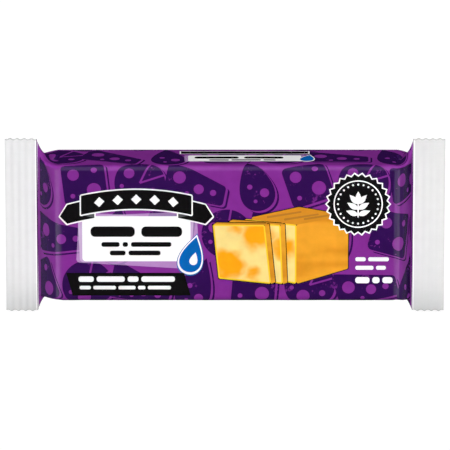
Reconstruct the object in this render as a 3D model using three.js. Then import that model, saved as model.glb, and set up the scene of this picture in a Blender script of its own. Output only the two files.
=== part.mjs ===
// A sealed, flow-wrapped block of cheese. It lies on its back with the printed front panel up.
//
// One tube of printed film is drawn taut round a rectangular block. Past each end of the block
// the front and back panels close in on the middle height, the sides fold inwards in a gusset,
// and the film ends in a flat seal pressed into ribs. The tube's own seam lies folded flat
// along the middle of the back. The pack is shut, so it is one solid out to the film.
//
// Millimetres. +X runs along the pack, +Y across it, and +Z up, out of the front panel.
// The origin is under the middle of the pack, on the surface that the pack lies on.

import * as THREE from 'three';

// Driving dimensions
const PACK_LENGTH = 179.2; // over both end seals
const BLOCK_WIDTH = 57; // wrapped block, across the pack
const BLOCK_DEPTH = 28; // wrapped block, front panel to back panel
const EDGE_RADIUS = 2.3; // the block's long edges
const SEAL_LENGTH = 12.9; // each end seal, along the pack
const SEAL_WIDTH = 73.5; // each end seal, across the pack
const SEAL_THICKNESS = 0.7; // film layers of an end seal, pressed together

// Tapers, from the ends of the block to the end seals. The right one is shorter and rounder.
// The flare says how late a side spreads out to the width of the seal, and the lobe how far
// the film stands out round the block's corner on that side.
const LEFT_TAPER = {
  length: 9.5,
  bulge: 1.65,
  plusY: { flare: 3.9, lobe: 0 },
  minusY: { flare: 4, lobe: 0 },
};
const RIGHT_TAPER = {
  length: 7.3,
  bulge: 2,
  plusY: { flare: 3.5, lobe: 0 },
  minusY: { flare: 2.5, lobe: 0.9 },
};

// Side gussets, in the tapers
const CREASE_DEPTH = 4.7; // half the band of the side panel that folds inwards
const CREASE_POWER = 1.9; // how soon that band closes
const TUCK_DEPTH = 3.6; // deepest point of the fold
const CREASE_RADIUS = 0.35;

// Ribs of the end seals
const RIBS_PER_SEAL = 4.5;
const STEPS_PER_RIB = 6;
const RIB_HEIGHT = 0.2; // above and below the middle of the seal
const RIB_SCALLOP = 0.64; // depth of the notches along the seal's two short edges
const SCALLOP_POWER = 0.7; // under 1 the notches are wide and the points between them narrow

// Seam along the back
const SEAM_HALF_WIDTH = 5;
const SEAM_EDGE = 0.4; // width of the step at each edge of the seam
const SEAM_GROOVE = [0.5, 0.3]; // how far the back panel stands off beside it, on +Y and -Y
const GROOVE_HALF_WIDTH = 14; // the back panel is flat again from here
const SEAM_LAYER = 0.25; // the seam's extra thickness in the end seals
const PANEL_YS = [
  0,
  SEAM_HALF_WIDTH,
  SEAM_HALF_WIDTH + SEAM_EDGE,
  (SEAM_HALF_WIDTH + GROOVE_HALF_WIDTH) / 2,
  GROOVE_HALF_WIDTH,
]; // where each half of a panel has a point

// Fineness of the mesh
const CORNER_STEPS = 4;
const CREASE_STEPS = 2;
const TAPER_STEPS = 9;

const HALF_LENGTH = PACK_LENGTH / 2;
const HALF_WIDTH = BLOCK_WIDTH / 2;
const HALF_DEPTH = BLOCK_DEPTH / 2;
const HALF_SEAL = SEAL_THICKNESS / 2;
const SEAL_INNER_X = HALF_LENGTH - SEAL_LENGTH;
const RIB_PITCH = SEAL_LENGTH / RIBS_PER_SEAL;

function mix(from, to, share) {
  return from + (to - from) * share;
}

// How far the seal's short edge is notched in at one phase of the ribs.
function scallopAt(phase) {
  return RIB_SCALLOP * ((1 + Math.sin(phase)) / 2) ** SCALLOP_POWER;
}

// The film's outline at one place along a taper: share is 0 at the block and 1 at the seal.
function outlineAt(share, taper) {
  const spread = (SEAL_WIDTH - BLOCK_WIDTH) / 2;
  const sideOf = ({ flare, lobe }) => ({
    cornerY: HALF_WIDTH + lobe * Math.sin(Math.PI * share ** 2),
    creaseY: HALF_WIDTH + spread * share ** flare,
  });
  return {
    share,
    panelZ: mix(HALF_SEAL, HALF_DEPTH, 1 - share ** taper.bulge),
    creaseZ: mix(HALF_SEAL, CREASE_DEPTH, (1 - share) ** CREASE_POWER),
    tuck: TUCK_DEPTH * Math.sin(Math.PI * share) + CREASE_RADIUS * share,
    cornerReach: mix(EDGE_RADIUS, CREASE_RADIUS, share),
    plusY: sideOf(taper.plusY),
    minusY: sideOf(taper.minusY),
    ribZ: 0,
    scallop: scallopAt(0) * share ** 4,
  };
}

// Inside an end seal the outline is flat, and falls and rises with the ribs.
function sealOutlineAt(distanceIn, taper) {
  const phase = (2 * Math.PI * distanceIn) / RIB_PITCH;
  return {
    ...outlineAt(1, taper),
    ribZ: -RIB_HEIGHT * Math.sin(phase),
    scallop: scallopAt(phase),
  };
}

// Every outline along the pack, from the left end to the right end.
function outlines() {
  const sealSteps = Math.round(RIBS_PER_SEAL * STEPS_PER_RIB);
  const endOutlines = (side, taper) => {
    const list = [];
    for (let step = 0; step <= TAPER_STEPS; step += 1) {
      const share = step / TAPER_STEPS;
      const x = side * (SEAL_INNER_X - taper.length * (1 - share));
      list.push({ x, ...outlineAt(share, taper) });
    }
    for (let step = 1; step <= sealSteps; step += 1) {
      const distanceIn = (SEAL_LENGTH * step) / sealSteps;
      list.push({ x: side * (SEAL_INNER_X + distanceIn), ...sealOutlineAt(distanceIn, taper) });
    }
    return list;
  };
  return [...endOutlines(-1, LEFT_TAPER).reverse(), ...endOutlines(1, RIGHT_TAPER)];
}

// Points round a corner, from a short way before it to a short way past it.
function roundedCorner(before, corner, after, reach, steps) {
  const start = corner.clone().add(before.clone().sub(corner).setLength(reach));
  const end = corner.clone().add(after.clone().sub(corner).setLength(reach));
  return new THREE.QuadraticBezierCurve(start, corner, end).getPoints(steps);
}

// One side of an outline, from the middle of the front panel to the middle of the back panel.
function halfOutline(outline, { cornerY, creaseY }) {
  const { panelZ, creaseZ, tuck, cornerReach } = outline;
  const edgeY = creaseY - outline.scallop;
  const creaseReach = CREASE_RADIUS / 2;
  const frontMiddle = new THREE.Vector2(0, panelZ);
  const frontCorner = new THREE.Vector2(cornerY, panelZ);
  const frontCrease = new THREE.Vector2(edgeY, creaseZ);
  const fold = new THREE.Vector2(edgeY - tuck, 0);
  const backCrease = new THREE.Vector2(edgeY, -creaseZ);
  const backCorner = new THREE.Vector2(cornerY, -panelZ);
  const backMiddle = new THREE.Vector2(0, -panelZ);
  const frontPanel = PANEL_YS.map((y) => new THREE.Vector2(y, panelZ));
  const backPanel = PANEL_YS.map((y) => new THREE.Vector2(y, -panelZ)).reverse();
  return [
    ...frontPanel,
    ...roundedCorner(frontMiddle, frontCorner, frontCrease, cornerReach, CORNER_STEPS),
    ...roundedCorner(frontCorner, frontCrease, fold, creaseReach, CREASE_STEPS),
    fold,
    ...roundedCorner(fold, backCrease, backCorner, creaseReach, CREASE_STEPS),
    ...roundedCorner(backCrease, backCorner, backMiddle, cornerReach, CORNER_STEPS),
    ...backPanel,
  ];
}

// How far the back panel lies above the seam's face on the block, and the seam's own
// layers below the film in the end seals.
function seamRelief(y, share) {
  const distance = Math.abs(y);
  if (distance <= SEAM_HALF_WIDTH) return -SEAM_LAYER * share;
  if (distance >= GROOVE_HALF_WIDTH) return 0;
  const depth = y > 0 ? SEAM_GROOVE[0] : SEAM_GROOVE[1];
  const reach = GROOVE_HALF_WIDTH - SEAM_HALF_WIDTH - SEAM_EDGE;
  return depth * (1 - share) * ((GROOVE_HALF_WIDTH - distance) / reach) ** 2;
}

// A whole outline as points in space, once round the pack.
function outlineLoop(outline) {
  const plusSide = halfOutline(outline, outline.plusY);
  const minusSide = halfOutline(outline, outline.minusY)
    .slice(1, -1)
    .reverse()
    .map(({ x, y }) => new THREE.Vector2(-x, y));
  return [...plusSide, ...minusSide].map((point, index, loop) => {
    const fromBackMiddle = Math.abs(index - loop.length / 2);
    const onBack = fromBackMiddle < PANEL_YS.length;
    const relief = onBack ? seamRelief(point.x, outline.share) : 0;
    return new THREE.Vector3(outline.x, point.x, HALF_DEPTH + outline.ribZ + point.y + relief);
  });
}

// A closed skin over a row of loops that all have the same number of points.
function skinOver(loops) {
  const count = loops[0].length;
  const positions = loops.flat().flatMap((point) => point.toArray());
  const faces = [];
  for (let row = 0; row + 1 < loops.length; row += 1) {
    for (let column = 0; column < count; column += 1) {
      const next = (column + 1) % count;
      const a = row * count + column;
      const b = row * count + next;
      const c = b + count;
      const d = a + count;
      faces.push(a, c, b, a, d, c);
    }
  }
  // The end of a seal is a strip of faces between each front point and the back point below it.
  // A loop starts at the middle of the front, so its folds are a quarter of the way round.
  const addCap = (row, flip) => {
    const start = row * count;
    const fold = count / 4;
    const frontAt = (column) => start + ((column + count) % count);
    const backAt = (column) => start + ((count / 2 - column + count) % count);
    for (let column = -fold; column < fold; column += 1) {
      const strip = [
        [frontAt(column), frontAt(column + 1), backAt(column + 1)],
        [frontAt(column), backAt(column + 1), backAt(column)],
      ];
      const whole = strip.filter((face) => new Set(face).size === face.length);
      whole.forEach((face) => faces.push(...(flip ? face.reverse() : face)));
    }
  };
  addCap(0, false);
  addCap(loops.length - 1, true);
  const skin = new THREE.BufferGeometry();
  skin.setAttribute('position', new THREE.Float32BufferAttribute(positions, 3));
  skin.setIndex(faces);
  skin.computeVertexNormals();
  return skin;
}

function makePack() {
  const film = new THREE.MeshStandardMaterial({ color: '#853094', roughness: 0.3, metalness: 0 });
  const pack = new THREE.Mesh(skinOver(outlines().map(outlineLoop)), film);
  pack.name = 'pack';
  return pack;
}

const flowPack = new THREE.Group();
flowPack.add(makePack());

export default flowPack;
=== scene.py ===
# %% [markdown]
# # A flow-wrapped block of cheese
#
# This lesson gives one shop pack its looks. The pack is a block of marbled cheese, drawn tight
# into a tube of glossy printed film, with a flat ribbed seal at each end. It lies on its back
# on a white table, and the camera looks down on its front panel.
#
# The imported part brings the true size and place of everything. The film in this script is
# shaped from the same few sizes as the part, so it lies where the part's solid lies.

import math
import random

import bmesh
import bpy
import numpy as np
from mathutils import Matrix, Vector
from mathutils.geometry import delaunay_2d_cdt


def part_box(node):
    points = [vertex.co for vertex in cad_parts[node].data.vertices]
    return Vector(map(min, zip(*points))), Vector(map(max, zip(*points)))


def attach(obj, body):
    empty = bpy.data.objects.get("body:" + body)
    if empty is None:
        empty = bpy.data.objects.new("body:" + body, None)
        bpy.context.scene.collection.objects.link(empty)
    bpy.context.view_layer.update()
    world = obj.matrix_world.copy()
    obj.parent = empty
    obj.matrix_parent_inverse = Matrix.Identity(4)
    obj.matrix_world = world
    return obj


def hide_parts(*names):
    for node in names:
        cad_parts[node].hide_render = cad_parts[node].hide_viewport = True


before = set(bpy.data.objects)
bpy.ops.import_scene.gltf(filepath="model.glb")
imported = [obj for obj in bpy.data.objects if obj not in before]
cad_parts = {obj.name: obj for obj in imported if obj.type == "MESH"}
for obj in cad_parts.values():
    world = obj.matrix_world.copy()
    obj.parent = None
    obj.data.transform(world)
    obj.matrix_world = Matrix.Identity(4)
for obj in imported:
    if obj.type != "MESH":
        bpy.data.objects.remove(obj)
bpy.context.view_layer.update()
pack_low, pack_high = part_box("pack")
MM = 0.001
PACK_LENGTH = (pack_high.x - pack_low.x) / MM
print("pack box in mm:", [round(side / MM, 1) for side in pack_high - pack_low])

# %% [markdown]
# ## The camera
#
# The picture was taken from some way off with a long lens, so the pack's edges stay almost
# parallel. It looks at the front panel from a little above. Here the pack lies on its back, so
# the camera hangs over it and leans towards +Y by the same small angle. The lens follows from
# the width of the view at that distance.

# %% Camera
CAMERA_LEAN = math.radians(15.6)
CAMERA_DISTANCE = 2.4
VIEW_WIDTH = 0.18375
VIEW_REACH = 60
SENSOR_WIDTH = 36.0
AIM = Vector((0, -0.0001, 0.014))

camera_data = bpy.data.cameras.new("camera")
camera_data.sensor_width = SENSOR_WIDTH
camera_data.lens = SENSOR_WIDTH * CAMERA_DISTANCE / VIEW_WIDTH
camera_data.clip_end = VIEW_REACH
camera = bpy.data.objects.new("camera", camera_data)
camera.rotation_euler = (-CAMERA_LEAN, 0, 0)
towards_camera = Vector((0, math.sin(CAMERA_LEAN), math.cos(CAMERA_LEAN)))
camera.location = AIM + CAMERA_DISTANCE * towards_camera
scene = bpy.context.scene
scene.collection.objects.link(camera)
scene.camera = camera
print("lens in mm:", round(camera_data.lens))

# %% [markdown]
# ## Node helpers
#
# Every material and the sky below are small node trees. A few helpers keep them short. The
# first adds a node with its settings and inputs, where an input is a plain value or the output
# of a node before it. The others are the few kinds of node that come up again and again.

# %% Node helpers
def add_node(tree, kind, inputs=None, **settings):
    node = tree.nodes.new(kind)
    for key, value in settings.items():
        setattr(node, key, value)
    for key, value in (inputs or {}).items():
        if isinstance(value, bpy.types.NodeSocket):
            tree.links.new(value, node.inputs[key])
        else:
            node.inputs[key].default_value = value
    return node


def combined(tree, operation, first, *others):
    for other in others:
        inputs = {0: first, 1: other}
        first = add_node(tree, "ShaderNodeMath", inputs, operation=operation).outputs[0]
    return first


def vector_math(tree, operation, first, second):
    inputs = {0: first, 1: second}
    return add_node(tree, "ShaderNodeVectorMath", inputs, operation=operation)


def fade(tree, value, dark_at, bright_at, dark=0.0, bright=1.0):
    """Changes smoothly from dark to bright between two values."""
    inputs = {"Value": value, "From Min": dark_at, "From Max": bright_at}
    inputs |= {"To Min": dark, "To Max": bright}
    return add_node(tree, "ShaderNodeMapRange", inputs, interpolation_type="SMOOTHSTEP").outputs[0]


# %% [markdown]
# ## Light to see by, and light to be mirrored
#
# Glossy film shows two things at once: its colour, by the light that falls on it, and a mirror
# image of the studio. One set of lamps could serve both, but then no change to the colour
# leaves the highlights alone. So the two are kept apart, as a photographer does with big soft
# boxes and with white cards. The lamps light the pack but don't show in the film, and the sky
# shows in the film but lights nothing.
#
# The sky holds white cards to the left, to the right and behind the pack, which give a clean
# band of light wherever the film rolls over an edge there. The side cards end well above the
# horizon, so that their bands stay narrow, and only a low glow is left below them. The sky is
# dark where the front panel mirrors it, so the purple stays deep.

# %% Sky that is only mirrored
SKY_BRIGHTNESS = 1.5
BACK_CARD_SHARE, LOW_GLOW_SHARE = 0.42, 0.09
PANEL_MIRRORS = (0, -math.sin(CAMERA_LEAN), math.cos(CAMERA_LEAN))
DARK_CONE, CONE_EDGE = math.cos(math.radians(13)), math.cos(math.radians(17))

# Each pair gives one part of the direction, where a card is dark and where it is bright.
HORIZON, SIDE_CARD_FOOT, BEHIND = (0.03, 0.12), (0.22, 0.34), (-0.2, -0.1)
SIDE_CARD_EDGE, BACK_CARD_EDGE, FAR_OUT = (0.3, 0.12), (0.5, 0.3), (0.6, 0.75)
OVERHEAD_TO_SIDES, OVERHEAD_SHARE = (0.95, 0.3), 0.6

world = bpy.data.worlds.new("studio")
world.use_nodes = True
world.cycles_visibility.diffuse = False
scene.world = world
sky = world.node_tree
sky.nodes.clear()
direction = add_node(sky, "ShaderNodeTexCoord").outputs["Generated"]
parts = add_node(sky, "ShaderNodeSeparateXYZ", {"Vector": direction})
across, depth, height = parts.outputs["X"], parts.outputs["Y"], parts.outputs["Z"]
closeness = vector_math(sky, "DOT_PRODUCT", direction, PANEL_MIRRORS).outputs["Value"]


def fade_from(tree, value, middle, dark_at, bright_at):
    """Fades by how far a value is from the middle."""
    off = combined(tree, "SUBTRACT", value, middle)
    apart = add_node(tree, "ShaderNodeMath", {0: off}, operation="ABSOLUTE").outputs[0]
    return fade(tree, apart, dark_at, bright_at)


off_panel = fade(sky, closeness, DARK_CONE, CONE_EDGE)
towards_sides = fade(sky, closeness, *OVERHEAD_TO_SIDES, dark=OVERHEAD_SHARE)
sideways = fade_from(sky, depth, PANEL_MIRRORS[1], *SIDE_CARD_EDGE)
over_foot = fade(sky, height, *SIDE_CARD_FOOT)
side_cards = combined(sky, "MULTIPLY", sideways, over_foot, towards_sides)
back_card = fade_from(sky, across, 0.0, *BACK_CARD_EDGE)
behind, over_horizon = fade(sky, depth, *BEHIND), fade(sky, height, *HORIZON)
back_card = combined(sky, "MULTIPLY", back_card, behind, over_horizon, BACK_CARD_SHARE)
far_out = fade_from(sky, across, 0.0, *FAR_OUT)
low_glow = combined(sky, "MULTIPLY", far_out, sideways, LOW_GLOW_SHARE)
cards = combined(sky, "MAXIMUM", side_cards, back_card, low_glow)
strength = combined(sky, "MULTIPLY", cards, off_panel, SKY_BRIGHTNESS)
sky_light = {"Color": (1, 1, 1, 1), "Strength": strength}
background = add_node(sky, "ShaderNodeBackground", sky_light)
add_node(sky, "ShaderNodeOutputWorld", {"Surface": background.outputs[0]})
scene.view_settings.view_transform = "Standard"
print("nodes in the sky:", len(sky.nodes))

# %% [markdown]
# ## Soft boxes
#
# Two wide soft boxes stand behind and in front of the pack. The one behind stands low and
# bright, because it alone lights the upper narrow side. Three more have a grid, which keeps
# their light in a beam with a soft edge. The beams from the left and the right both end half
# way along the pack. So each lights the steep film at its own end, and neither reaches the
# seal at the other end. The beam from overhead ends along the lower ends of the seals, and
# lets them fall off to grey.
#
# A share says how bright each lamp makes a white sheet that faces it, and the watts follow.

# %% Soft boxes that only light
LAMP_DISTANCE, LAMP_SIZE, WIDE_OPEN = 2.4, (0.9, 0.9), 180
BEAM_REACH, BEAM_SIZE = 0.8, (0.5, 0.24)
HALF_WAY_ALONG, LOW_ENDS_OF_SEALS = (0, 0, 0.028), (0, -0.0345, 0)
SIDE_GRID = {"height": 30, "share": 0.445, "spread": 3.6, "edge": HALF_WAY_ALONG}
TOP_GRID = {"height": 90, "share": 0.565, "spread": 2.7, "edge": LOW_ENDS_OF_SEALS}
SOFTBOXES = {
    "back_softbox": {"azimuth": 90, "height": 17, "share": 1.01, "spread": WIDE_OPEN},
    "front_softbox": {"azimuth": 270, "height": 30, "share": 0.19, "spread": WIDE_OPEN},
}
GRID_SOFTBOXES = {
    "left_grid": {"azimuth": 180, **SIDE_GRID},
    "right_grid": {"azimuth": 0, **SIDE_GRID},
    "overhead_grid": {"azimuth": 90, **TOP_GRID},
}


def lamp_axes(lamp):
    """Directions towards the lamp, and up along its face."""
    azimuth, height = math.radians(lamp["azimuth"]), math.radians(lamp["height"])
    level, rise = math.cos(height), math.sin(height)
    outward = Vector((math.cos(azimuth) * level, math.sin(azimuth) * level, rise))
    return outward, Vector((-math.cos(azimuth) * rise, -math.sin(azimuth) * rise, level))


def add_softbox(name, lamp, place, size, watts):
    outward, upward = lamp_axes(lamp)
    data = bpy.data.lights.new(name, "AREA")
    data.shape = "RECTANGLE"
    data.size, data.size_y = size
    data.energy = watts
    data.spread = math.radians(lamp["spread"])
    softbox = bpy.data.objects.new(name, data)
    turned = Matrix((upward.cross(outward), upward, outward)).transposed()
    softbox.rotation_euler = turned.to_euler()
    softbox.location = place
    softbox.visible_camera = False
    softbox.visible_glossy = False
    scene.collection.objects.link(softbox)


# An open box's light thins out with the distance, and a gridded one's stays in its beam.
for name, lamp in SOFTBOXES.items():
    place = lamp_axes(lamp)[0] * LAMP_DISTANCE
    watts = lamp["share"] * math.pi**2 * LAMP_DISTANCE**2
    add_softbox(name, lamp, place, LAMP_SIZE, watts)
for name, lamp in GRID_SOFTBOXES.items():
    outward, upward = lamp_axes(lamp)
    place = Vector(lamp["edge"]) - upward * BEAM_SIZE[1] / 2 + outward * BEAM_REACH
    watts = lamp["share"] * math.pi * BEAM_SIZE[0] * BEAM_SIZE[1]
    add_softbox(name, lamp, place, BEAM_SIZE, watts)

# %% [markdown]
# ## The table
#
# A cut-out shop picture has a plain white ground without a shadow. A white table under these
# lamps would show one. So this table is painted nearly black and glows white all over, which
# hides any shadow. It glows hardly brighter than white, because a brighter ground would bleach
# the thin edges of the pack. The film doesn't mirror it, and it lights nothing.

# %% Table
TABLE_RADIUS, TABLE_CORNERS = 40.0, 96
TABLE_FINISH = {
    "Base Color": (0.03, 0.03, 0.03, 1),
    "Emission Color": (1, 1, 1, 1),
    "Emission Strength": 1.01,
    "Roughness": 0.8,
    "Specular IOR Level": 0.1,
}

table_mesh = bpy.data.meshes.new("table")
shaper = bmesh.new()
bmesh.ops.create_circle(shaper, cap_ends=True, segments=TABLE_CORNERS, radius=TABLE_RADIUS)
shaper.to_mesh(table_mesh)
shaper.free()
table = bpy.data.objects.new("table", table_mesh)
scene.collection.objects.link(table)
table.visible_glossy = False
table.visible_diffuse = False

table_paint = bpy.data.materials.new("table_paint")
table_paint.use_nodes = True
table_shader = table_paint.node_tree.nodes["Principled BSDF"]
for socket, value in TABLE_FINISH.items():
    table_shader.inputs[socket].default_value = value
table_mesh.materials.append(table_paint)
print("table radius in m:", TABLE_RADIUS)

# %% [markdown]
# ## The film's shape
#
# The wrap is one tube of film. It could be modelled by hand from a box with loop cuts, but the
# print has to run over its edges without a break. So the film is first thought of as a flat
# sheet, as it comes off the printing roll: u runs along the pack and v round it, both in
# millimetres, with (0, 0) in the middle of the front panel. One function then says where each
# point of the flat sheet lies on the wrapped pack. Its sizes are the part's own, except that
# the ribs of the seals are lower, as faint as they look in the picture.

# %% Sizes of the wrapped pack, in mm
BLOCK_WIDTH, BLOCK_DEPTH, EDGE_RADIUS = 57.0, 28.0, 2.3
SEAL_LENGTH, SEAL_WIDTH, SEAL_THICKNESS = 12.9, 73.5, 0.7
LEFT_TAPER = {"length": 9.5, "bulge": 1.65, "flare": (3.9, 4.0), "lobe": (0.0, 0.0)}
RIGHT_TAPER = {"length": 7.3, "bulge": 2.0, "flare": (3.5, 2.5), "lobe": (0.0, 0.9)}
CREASE_DEPTH, CREASE_POWER, TUCK_DEPTH, CREASE_RADIUS = 4.7, 1.9, 3.6, 0.35
RIBS_PER_SEAL = 4.5
RIB_HEIGHT, RIB_SCALLOP, SCALLOP_POWER = 0.07, 0.64, 0.7
SEAM_HALF_WIDTH, SEAM_EDGE, GROOVE_HALF_WIDTH, SEAM_LAYER = 5.0, 0.4, 14.0, 0.25
SEAM_GROOVE = (0.5, 0.3)

HALF_WIDTH, HALF_DEPTH, HALF_SEAL = BLOCK_WIDTH / 2, BLOCK_DEPTH / 2, SEAL_THICKNESS / 2
SEAL_INNER_X = PACK_LENGTH / 2 - SEAL_LENGTH
RIB_PITCH = SEAL_LENGTH / RIBS_PER_SEAL
CREASE_V = HALF_WIDTH + HALF_DEPTH - CREASE_DEPTH
FOLD_V = HALF_WIDTH + HALF_DEPTH
HALF_GIRTH = 2 * FOLD_V
print("girth of the tube:", 2 * HALF_GIRTH, "mm")


# %% Lengths along the film
RUN_POINTS = 2001


def mix(start, end, share):
    return start + (end - start) * share


def panel_height(share, bulge):
    return mix(HALF_SEAL, HALF_DEPTH, 1 - share**bulge)


def film_run(taper):
    """How much film lies between the block's end and each place of a taper."""
    share = np.linspace(0, 1, RUN_POINTS)
    along = taper["length"] * share
    up = panel_height(share, taper["bulge"])
    steps = np.hypot(np.diff(along), np.diff(up))
    return share, np.concatenate([[0], np.cumsum(steps)])


for taper in (LEFT_TAPER, RIGHT_TAPER):
    taper["block_end"] = SEAL_INNER_X - taper["length"]
    taper["shares"], taper["runs"] = film_run(taper)
    taper["seal_u"] = taper["block_end"] + taper["runs"][-1]
    taper["end_u"] = taper["seal_u"] + SEAL_LENGTH
print("film between the seals:", round(LEFT_TAPER["seal_u"] + RIGHT_TAPER["seal_u"], 1), "mm")


# %% One place along the film
def along_film(u, taper):
    """The share of the taper, x without its sign, and the depth into the seal."""
    distance = np.abs(u)
    share = np.interp(distance - taper["block_end"], taper["runs"], taper["shares"])
    into_seal = np.maximum(distance - taper["seal_u"], 0)
    on_block = np.minimum(distance, taper["block_end"])
    return share, on_block + taper["length"] * share + into_seal, into_seal


def bezier(start, corner, end, t):
    weights = (1 - t) ** 2, 2 * t * (1 - t), t**2
    return [sum(w * value for w, value in zip(weights, values)) for values in zip(start, corner, end)]


def towards(start, end, reach):
    """The point a short way from start towards end."""
    across, up = end[0] - start[0], end[1] - start[1]
    length = np.hypot(across, up)
    return start[0] + across / length * reach, start[1] + up / length * reach


def stretch(start, end, share):
    return [mix(a, b, share) for a, b in zip(start, end)]


# %% Once round the pack
CREASE_REACH = CREASE_RADIUS / 2
SECTION_KNOTS = [
    0,
    HALF_WIDTH - EDGE_RADIUS,
    HALF_WIDTH + EDGE_RADIUS,
    CREASE_V - CREASE_REACH,
    CREASE_V + CREASE_REACH,
    FOLD_V,
]


def quarter_outline(w, share, into_seal, taper, side):
    """Across and up for w, the way from the middle of a panel to the fold in the side."""
    phase = 2 * np.pi * into_seal / RIB_PITCH
    scallop = RIB_SCALLOP * ((1 + np.sin(phase)) / 2) ** SCALLOP_POWER * share**4
    spread = (SEAL_WIDTH - BLOCK_WIDTH) / 2
    corner_y = HALF_WIDTH + taper["lobe"][side] * np.sin(np.pi * share**2)
    crease_y = HALF_WIDTH + spread * share ** taper["flare"][side] - scallop
    panel_z = panel_height(share, taper["bulge"])
    crease_z = mix(HALF_SEAL, CREASE_DEPTH, (1 - share) ** CREASE_POWER)
    tuck = TUCK_DEPTH * np.sin(np.pi * share) + CREASE_RADIUS * share
    reach = mix(EDGE_RADIUS, CREASE_RADIUS, share)
    middle, corner = (0 * share, panel_z), (corner_y, panel_z)
    crease, fold = (crease_y, crease_z), (crease_y - tuck, 0 * share)
    before_corner, after_corner = towards(corner, middle, reach), towards(corner, crease, reach)
    before_crease = towards(crease, corner, CREASE_REACH)
    after_crease = towards(crease, fold, CREASE_REACH)
    knots = np.array(SECTION_KNOTS)
    span = np.clip(np.searchsorted(knots, w, side="right") - 1, 0, len(knots) - 2)
    t = (w - knots[span]) / (knots[span + 1] - knots[span])
    stretches = [
        stretch(middle, before_corner, t),
        bezier(before_corner, corner, after_corner, t),
        stretch(after_corner, before_crease, t),
        bezier(before_crease, crease, after_crease, t),
        stretch(after_crease, fold, t),
    ]
    return [np.choose(span, [piece[axis] for piece in stretches]) for axis in (0, 1)]


def seam_relief(y, share):
    """The folded seam's edge on the back panel, and its extra layer in the seals."""
    distance = np.abs(y)
    depth = np.where(y > 0, SEAM_GROOVE[0], SEAM_GROOVE[1])
    fall = (GROOVE_HALF_WIDTH - distance) / (GROOVE_HALF_WIDTH - SEAM_HALF_WIDTH - SEAM_EDGE)
    beside = depth * (1 - share) * np.maximum(fall, 0) ** 2
    edge = np.clip((distance - SEAM_HALF_WIDTH) / SEAM_EDGE, 0, 1)
    return mix(-SEAM_LAYER * share, beside, edge)


# %% From the flat sheet to the taut pack
def taut_film(u, v):
    """Where the flat sheet's points (u, v) lie on the taut pack, in mm."""
    v = (v + HALF_GIRTH) % (2 * HALF_GIRTH) - HALF_GIRTH
    front = np.abs(v) <= FOLD_V
    w = np.where(front, np.abs(v), HALF_GIRTH - np.abs(v))
    x, y, z = np.zeros_like(u), np.zeros_like(u), np.zeros_like(u)
    for taper, end in ((LEFT_TAPER, -1), (RIGHT_TAPER, 1)):
        for side, hand in ((0, 1), (1, -1)):
            part = ((u < 0) == (end < 0)) & ((v >= 0) == (hand > 0))
            share, along, into_seal = along_film(u[part], taper)
            across, up = quarter_outline(w[part], share, into_seal, taper, side)
            rib = -RIB_HEIGHT * np.sin(2 * np.pi * into_seal / RIB_PITCH)
            face = np.where(front[part], 1, -1)
            relief = np.where(front[part], 0, seam_relief(hand * across, share))
            x[part] = end * along
            y[part] = hand * across
            z[part] = HALF_DEPTH + rib + face * up + relief
    return np.stack([x, y, z], axis=1)


middle = taut_film(np.array([0.0]), np.array([0.0]))[0]
print("middle of the front panel:", [round(float(value), 2) for value in middle])

# %% [markdown]
# ## Slack in the film
#
# No wrap is quite taut. In the tapers the film gathers into soft pleats that run towards the
# seal, and the long edges of the block are never ruler straight, which makes the bands of
# light along them a little uneven. The front also begins to roll off a little before the
# block's ends. A cloth simulation could make all this, but the pleats are only a tenth of a
# millimetre high, so a sum of waves is enough. The waves push the taut film along its own
# normal, and the final normals come from the pushed film.

# %% Pleats and slack, in mm
PLEAT_HEIGHT, SLACK_HEIGHT = 0.08, 0.012
PLEAT_LEAN = 0.22  # how far the pleats drift round the pack for each mm along it
PLEAT_POWER = 1.6  # over 1, the pleats are highest near the seal
SEAM_FADE, BACK_FADE = 10, 6  # film beside the seam and the back that grows calm
ROLL_AHEAD, ROLL_LENGTH, ROLL_DEPTH = 1.35, 2.6, 0.3
# Each wave has its length, its phase and its share. A slack wave has two lengths, along the
# pack and round it.
PLEAT_WAVES = [(3.9, 0.4, 0.5), (6.1, 2.1, 0.8), (9.7, 4.4, 1.0)]
SLACK_WAVES = [(31, 47, 0.3, 1.0), (19, -23, 2.2, 0.7), (11, 37, 5.0, 0.5)]
NORMAL_STEP = 0.06


def slack(u, v):
    """How far the film stands off its taut shape, in mm."""
    past_block = np.where(u < 0, -u - LEFT_TAPER["block_end"], u - RIGHT_TAPER["block_end"])
    taper_share = np.where(
        u < 0,
        np.interp(past_block, LEFT_TAPER["runs"], LEFT_TAPER["shares"]),
        np.interp(past_block, RIGHT_TAPER["runs"], RIGHT_TAPER["shares"]),
    )
    around = v + PLEAT_LEAN * np.abs(u)
    pleats = sum(
        share * np.sin(2 * np.pi * around / length + phase)
        for length, phase, share in PLEAT_WAVES
    )
    waves = sum(
        share * np.sin(2 * np.pi * (u / along + v / across) + phase)
        for along, across, phase, share in SLACK_WAVES
    )
    off_seam = np.clip((HALF_GIRTH - np.abs(v)) / SEAM_FADE, 0, 1)
    off_back = np.clip((HALF_GIRTH - HALF_WIDTH - np.abs(v)) / BACK_FADE, 0, 1)
    in_taper = np.sin(np.pi * taper_share**PLEAT_POWER) ** 2
    rolled = np.clip((past_block + ROLL_AHEAD) / ROLL_LENGTH, 0, 1)
    roll = ROLL_DEPTH * rolled**2 * (3 - 2 * rolled) * (1 - taper_share) ** 2
    pleated = PLEAT_HEIGHT * pleats * in_taper * off_seam
    loose = SLACK_HEIGHT * waves * (1 - taper_share) * off_back
    return pleated + loose - roll * (np.abs(v) < FOLD_V)


def normals_of(surface, u, v):
    along = surface(u + NORMAL_STEP, v) - surface(u - NORMAL_STEP, v)
    around = surface(u, v + NORMAL_STEP) - surface(u, v - NORMAL_STEP)
    normal = np.cross(along, around)
    return normal / np.linalg.norm(normal, axis=1, keepdims=True)


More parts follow.
